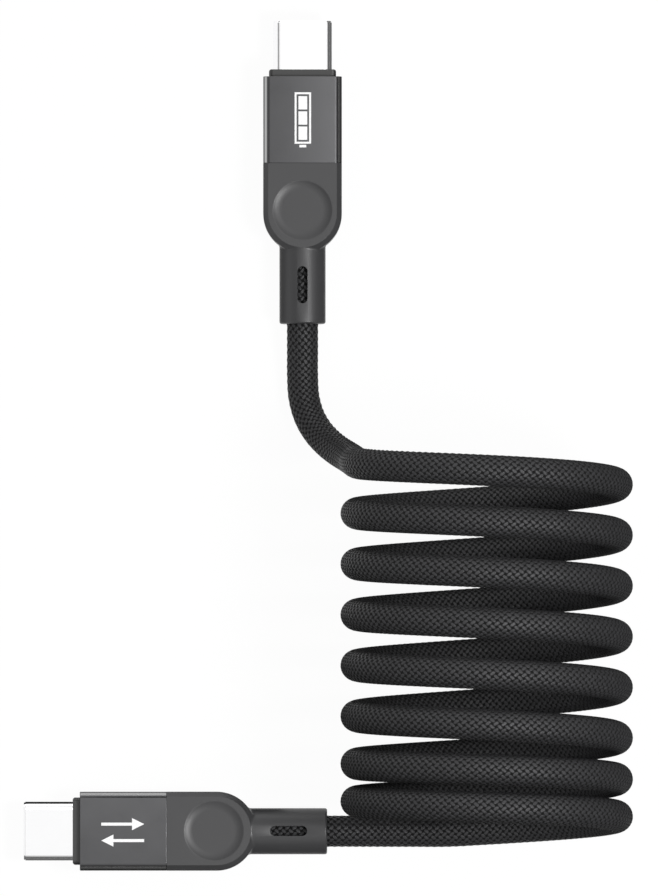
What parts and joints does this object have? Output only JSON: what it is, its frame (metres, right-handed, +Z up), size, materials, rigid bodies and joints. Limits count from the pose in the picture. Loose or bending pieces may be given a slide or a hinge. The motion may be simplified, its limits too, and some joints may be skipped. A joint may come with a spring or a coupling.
{
  "type": "coiled charging cable with two usb-c plugs",
  "caption": "Braided charging cable wound in a self-holding coil, with a reversible plug in a metal sleeve and a slotted strain relief at each end.",
  "frame": {"origin": "on the table under the middle of the box that the two plugs span; the cord is left out of that box", "axes": "+Z up from the table, +Y the way that plug a points, -X the way that plug b points; the coil lies on its side with its axis along Y"},
  "size_m": [0.0851, 0.119, 0.0408],
  "materials": {
    "nickel_shell": "bright drawn and nickel-plated steel",
    "mouth_plastic": "moulded black plastic",
    "gold_contacts": "stamped and gold-plated",
    "spring_steel": "stamped spring steel",
    "board_green": "solder mask over glass fibre",
    "chip_black": "moulded chip case",
    "capacitor_tan": "sintered ceramic with tinned ends",
    "can_steel": "folded sheet",
    "collar_black": "moulded black plastic",
    "sleeve_gunmetal": "fine blasted and anodised gunmetal grey, with bright cut bevels",
    "grip_grey": "moulded soft grey plastic with a fine spark texture",
    "mould_white": "soft moulded filling",
    "print_white": "white screen print",
    "power_wire_red": "insulated stranded wire",
    "signal_wire_white": "insulated stranded wire",
    "ring_copper": "rolled and crimped copper",
    "cord_braid": "charcoal and black nylon braid"
  },
  "bodies": {
    "root": {"plug_shell_a": "nickel_shell", "insulator_a": "mouth_plastic", "contacts_upper_a": "gold_contacts", "contacts_lower_a": "gold_contacts", "latch_plate_a": "spring_steel", "ground_springs_a": "spring_steel", "circuit_board_a": "board_green", "board_capacitors_a": "capacitor_tan", "shield_can_a": "can_steel", "inner_housing_a": "collar_black", "metal_sleeve_a": "sleeve_gunmetal", "grip_body_a": "grip_grey", "inner_mould_a": "mould_white", "power_wires_a": "power_wire_red", "signal_wires_a": "signal_wire_white", "crimp_ring_a": "ring_copper", "plug_shell_b": "nickel_shell", "insulator_b": "mouth_plastic", "contacts_upper_b": "gold_contacts", "contacts_lower_b": "gold_contacts", "latch_plate_b": "spring_steel", "ground_springs_b": "spring_steel", "circuit_board_b": "board_green", "board_capacitors_b": "capacitor_tan", "shield_can_b": "can_steel", "inner_housing_b": "collar_black", "metal_sleeve_b": "sleeve_gunmetal", "grip_body_b": "grip_grey", "inner_mould_b": "mould_white", "power_wires_b": "power_wire_red", "signal_wires_b": "signal_wire_white", "crimp_ring_b": "ring_copper", "power_chip_a": "chip_black", "cord_lead_a": "cord_braid", "cord_coil": "cord_braid", "cord_lead_b": "cord_braid"}
  },
  "joints": []
}
